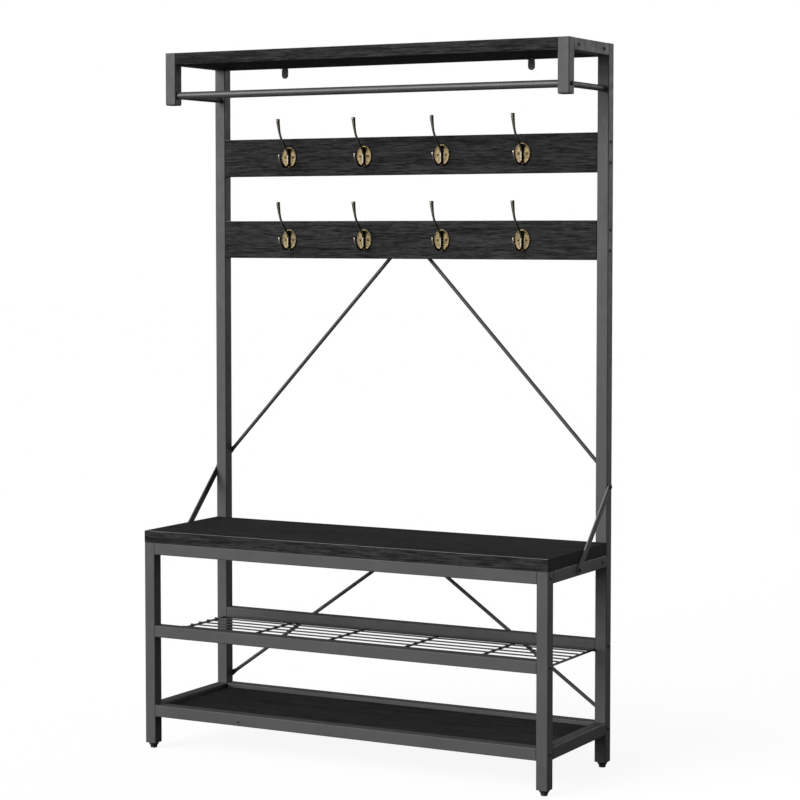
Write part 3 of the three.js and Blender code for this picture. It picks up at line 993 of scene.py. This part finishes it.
class HALLTREE_OT_wall_brackets(bpy.types.Operator):
    """Models the bent brackets whose tongues hang under the top shelf"""

    bl_idname = "hall_tree.wall_brackets"
    bl_label = "Wall brackets"

    def execute(self, context):
        for side in SIDES:
            node = side + "_wall_bracket"
            low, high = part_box(node)
            width = high.x - low.x
            drop = high.z - low.z
            tongue = flat_bar("tongue", drop - width + 2 * MM, width, BRACKET_SHEET)
            activate(tongue)
            bpy.ops.object.mode_set(mode="EDIT")
            bpy.ops.mesh.select_all(action="SELECT")
            bpy.ops.mesh.bisect(
                plane_co=(drop - width / 2, 0, 0), plane_no=(1, 0, 0),
                clear_outer=True, use_fill=True,
            )
            bpy.ops.object.mode_set(mode="OBJECT")
            # The tongue's length turns up to +Z, and its flat side to the rear.
            tongue.rotation_euler = (0, -math.pi / 2, 0)
            settle(tongue)
            tongue.rotation_euler = (0, 0, -math.pi / 2)
            tongue.location = ((low.x + high.x) / 2, high.y - BRACKET_SHEET, low.z + width / 2)
            settle(tongue)
            leg = block("leg", (low.x, low.y, high.z - BRACKET_SHEET), (high.x, high.y, high.z))
            bevel_edges(leg, sizes().plate_edge, 2, is_sharp)
            piece = join(node + "_sheet", [tongue, leg])
            complete(piece, finish_of("bolt"), [node])
        return {"FINISHED"}


# A foot's moulding from its sole up: radius and height of each ring, in millimetres
FOOT_MOULDING = (
    (8.0, 0), (8.6, 0.3), (9.0, 1.0), (9.0, 4.4), (8.4, 4.8), (8.4, 5.3),
    (9.4, 5.6), (13.7, 12.4), (14.0, 13.0), (14.0, 14.2), (13.5, 14.7), (4.0, 14.7),
)
STEM = {"radius": 4.0 * MM, "tip_radius": 3.2 * MM, "tip": 1 * MM}
PLUG_NECK = 28 * MM


class HALLTREE_OT_feet_and_plugs(bpy.types.Operator):
    """Models the levelling feet, the post plugs and the finish of the leg inserts"""

    bl_idname = "hall_tree.feet_and_plugs"
    bl_label = "Feet and plugs"

    def execute(self, context):
        for side in SIDES:
            for place in ("front", "rear"):
                node = f"{side}_{place}_levelling_foot"
                low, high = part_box(node)
                middle = (low + high) / 2
                stem = [(STEM["radius"], high.z - STEM["tip"]), (STEM["tip_radius"], high.z)]
                piece = turned(node + "_moulding", in_millimetres(FOOT_MOULDING) + stem, 40)
                aim(piece, Z, (middle.x, middle.y, low.z))
                body = f"{side}_{place}_foot"
                complete(piece, finish_of("plastic"), [node], body)
                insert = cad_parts[f"{side}_{place}_leg_insert"]
                insert.data.materials.clear()
                insert.data.materials.append(finish_of("plastic"))
            node = side + "_post_plug"
            low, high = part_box(node)
            post_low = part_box(side + "_short_post")[0]
            middle = (low + high) / 2
            cap = block("cap", (low.x, low.y, low.z), (high.x, high.y, post_low.z - 0.2 * MM))
            bevel_edges(cap, 2.5 * MM, 4, lambda e: abs(e.verts[0].co.z - e.verts[1].co.z) > 1 * MM)
            bevel_edges(cap, 2.8 * MM, 5, lambda e: is_sharp(e)
                        and max(v.co.z for v in e.verts) < low.z + NEAR)
            half = PLUG_NECK / 2
            neck = block(
                "neck", (middle.x - half, middle.y - half, post_low.z - 1 * MM),
                (middle.x + half, middle.y + half, high.z),
            )
            bevel_edges(neck, 1 * MM, 2, is_sharp)
            plug = join(node + "_moulding", [cap, neck])
            complete(plug, finish_of("plastic"), [node])
        return {"FINISHED"}


CAMERA = {
    "place": (3.0439, -5.4848, 1.3992), "lens": 106.87, "sensor": 36, "shift_y": -0.04,
    "down": math.radians(3.287), "turn": math.radians(28.415), "reach": 200,
}
FLOOR_SIZE = 60
AMBIENT = 0.2
LIGHTS = {  # where each light shines from, its strength and its spread in degrees
    "key": ((-2.4, -4.6, 2.1), 4.1, 50),
    "side": ((-4.6, -2.8, 0.5), 0.8, 30),
    "back": ((1.2, 4.9, 0.6), 0.8, 40),
}
FILL = {"place": (1.75, -0.2, 1.1), "width": 0.9, "height": 2.2, "power": 3}
FLOOR_WHITE = 0.85  # how much of the floor's own shading is washed out to white
FLOOR_GLOW = 1.06
FLOOR_BOUNCE = 0.14  # how much light the floor sends back up


class HALLTREE_OT_stage(bpy.types.Operator):
    """Adds the pale floor, the soft lights and the camera"""

    bl_idname = "hall_tree.stage"
    bl_label = "Stage"

    def light(self, name, towards, strength, spread):
        """A soft light that reaches the whole floor evenly."""
        clear_selection()
        bpy.ops.object.light_add(type="SUN", location=towards)
        lamp = bpy.context.object
        lamp.name = name
        lamp.data.energy = strength
        lamp.data.angle = math.radians(spread)
        lamp.rotation_euler = (-Vector(towards)).to_track_quat("-Z", "Y").to_euler()

    def fill(self):
        """A weak upright panel that lifts the right-hand faces."""
        clear_selection()
        bpy.ops.object.light_add(type="AREA", location=FILL["place"])
        panel = bpy.context.object
        panel.name = "fill"
        panel.data.shape = "RECTANGLE"
        panel.data.size = FILL["width"]
        panel.data.size_y = FILL["height"]
        panel.data.energy = FILL["power"]
        panel.rotation_euler = Vector((-1, 0, 0)).to_track_quat("-Z", "Y").to_euler()
        panel.visible_camera = False

    def execute(self, context):
        scene = context.scene
        clear_selection()
        bpy.ops.mesh.primitive_plane_add(size=FLOOR_SIZE, location=(0, 0, 0))
        floor = new_piece("floor")
        floor.data.materials.append(self.floor_finish())

        world = bpy.data.worlds.new("studio")
        world.use_nodes = True
        nodes, links = world.node_tree.nodes, world.node_tree.links
        seen, ambient = nodes["Background"], nodes.new("ShaderNodeBackground")
        seen.inputs["Color"].default_value = (1, 1, 1, 1)
        ambient.inputs["Color"].default_value = (1, 1, 1, 1)
        ambient.inputs["Strength"].default_value = AMBIENT
        mixed = nodes.new("ShaderNodeMixShader")
        links.new(nodes.new("ShaderNodeLightPath").outputs["Is Camera Ray"], mixed.inputs["Fac"])
        links.new(ambient.outputs["Background"], mixed.inputs[1])
        links.new(seen.outputs["Background"], mixed.inputs[2])
        links.new(mixed.outputs["Shader"], nodes["World Output"].inputs["Surface"])
        scene.world = world
        for name, (towards, strength, spread) in LIGHTS.items():
            self.light(name, towards, strength, spread)
        self.fill()

        camera_data = bpy.data.cameras.new("camera")
        camera = bpy.data.objects.new("camera", camera_data)
        scene.collection.objects.link(camera)
        camera_data.lens = CAMERA["lens"]
        camera_data.sensor_width = CAMERA["sensor"]
        camera_data.shift_y = CAMERA["shift_y"]
        camera_data.clip_end = CAMERA["reach"]
        camera.location = CAMERA["place"]
        camera.rotation_euler = (math.pi / 2 - CAMERA["down"], 0, CAMERA["turn"])
        scene.camera = camera
        scene.view_settings.view_transform = "Standard"
        return {"FINISHED"}

    def floor_finish(self):
        """White paper: nearly shadowless to the eye, and a weak bounce on to the hall tree."""
        finish = Finish("pale_floor", 0.8)
        tone = finish.spread(finish.noise(1.5, 3), 0.3, 0.7)
        finish.colour(finish.blend(tone, shade(colours().floor, 0.99), colours().floor))
        glow = finish.nodes.new("ShaderNodeEmission")
        glow.inputs["Strength"].default_value = FLOOR_GLOW
        dim = finish.nodes.new("ShaderNodeBsdfDiffuse")
        dim.inputs["Color"].default_value = (FLOOR_BOUNCE,) * 3 + (1,)
        washed = finish.nodes.new("ShaderNodeMixShader")
        washed.inputs["Fac"].default_value = FLOOR_WHITE
        finish.links.new(finish.shader.outputs["BSDF"], washed.inputs[1])
        finish.links.new(glow.outputs["Emission"], washed.inputs[2])
        chosen = finish.nodes.new("ShaderNodeMixShader")
        seen = finish.nodes.new("ShaderNodeLightPath").outputs["Is Camera Ray"]
        finish.links.new(seen, chosen.inputs["Fac"])
        finish.links.new(dim.outputs["BSDF"], chosen.inputs[1])
        finish.links.new(washed.outputs["Shader"], chosen.inputs[2])
        finish.links.new(chosen.outputs["Shader"], finish.nodes["Material Output"].inputs["Surface"])
        return finish.material


OPERATORS = (
    HALLTREE_OT_square_tubes,
    HALLTREE_OT_round_rails,
    HALLTREE_OT_boards,
    HALLTREE_OT_mesh_shelf,
    HALLTREE_OT_side_straps,
    HALLTREE_OT_rear_braces,
    HALLTREE_OT_bolts,
    HALLTREE_OT_hooks,
    HALLTREE_OT_wall_brackets,
    HALLTREE_OT_feet_and_plugs,
    HALLTREE_OT_stage,
)


class HALLTREE_PT_panel(bpy.types.Panel):
    """Lists the sizes, the colours and every step"""

    bl_idname = "HALLTREE_PT_panel"
    bl_label = "Hall Tree"
    bl_space_type = "VIEW_3D"
    bl_region_type = "UI"
    bl_category = "Hall Tree"

    def draw(self, context):
        for group in (context.scene.hall_tree_sizes, context.scene.hall_tree_colours):
            box = self.layout.box()
            for name in group.__annotations__:
                box.prop(group, name)
        for operator in OPERATORS:
            self.layout.operator(operator.bl_idname)


CLASSES = (HallTreeSizes, HallTreeColours, *OPERATORS, HALLTREE_PT_panel)


def register():
    for each in CLASSES:
        bpy.utils.register_class(each)
    bpy.types.Scene.hall_tree_sizes = PointerProperty(type=HallTreeSizes)
    bpy.types.Scene.hall_tree_colours = PointerProperty(type=HallTreeColours)


def unregister():
    del bpy.types.Scene.hall_tree_colours
    del bpy.types.Scene.hall_tree_sizes
    for each in reversed(CLASSES):
        bpy.utils.unregister_class(each)


def main():
    register()
    for operator in OPERATORS:
        getattr(bpy.ops.hall_tree, operator.bl_idname.split(".")[1])()


if __name__ == "__main__":
    main()
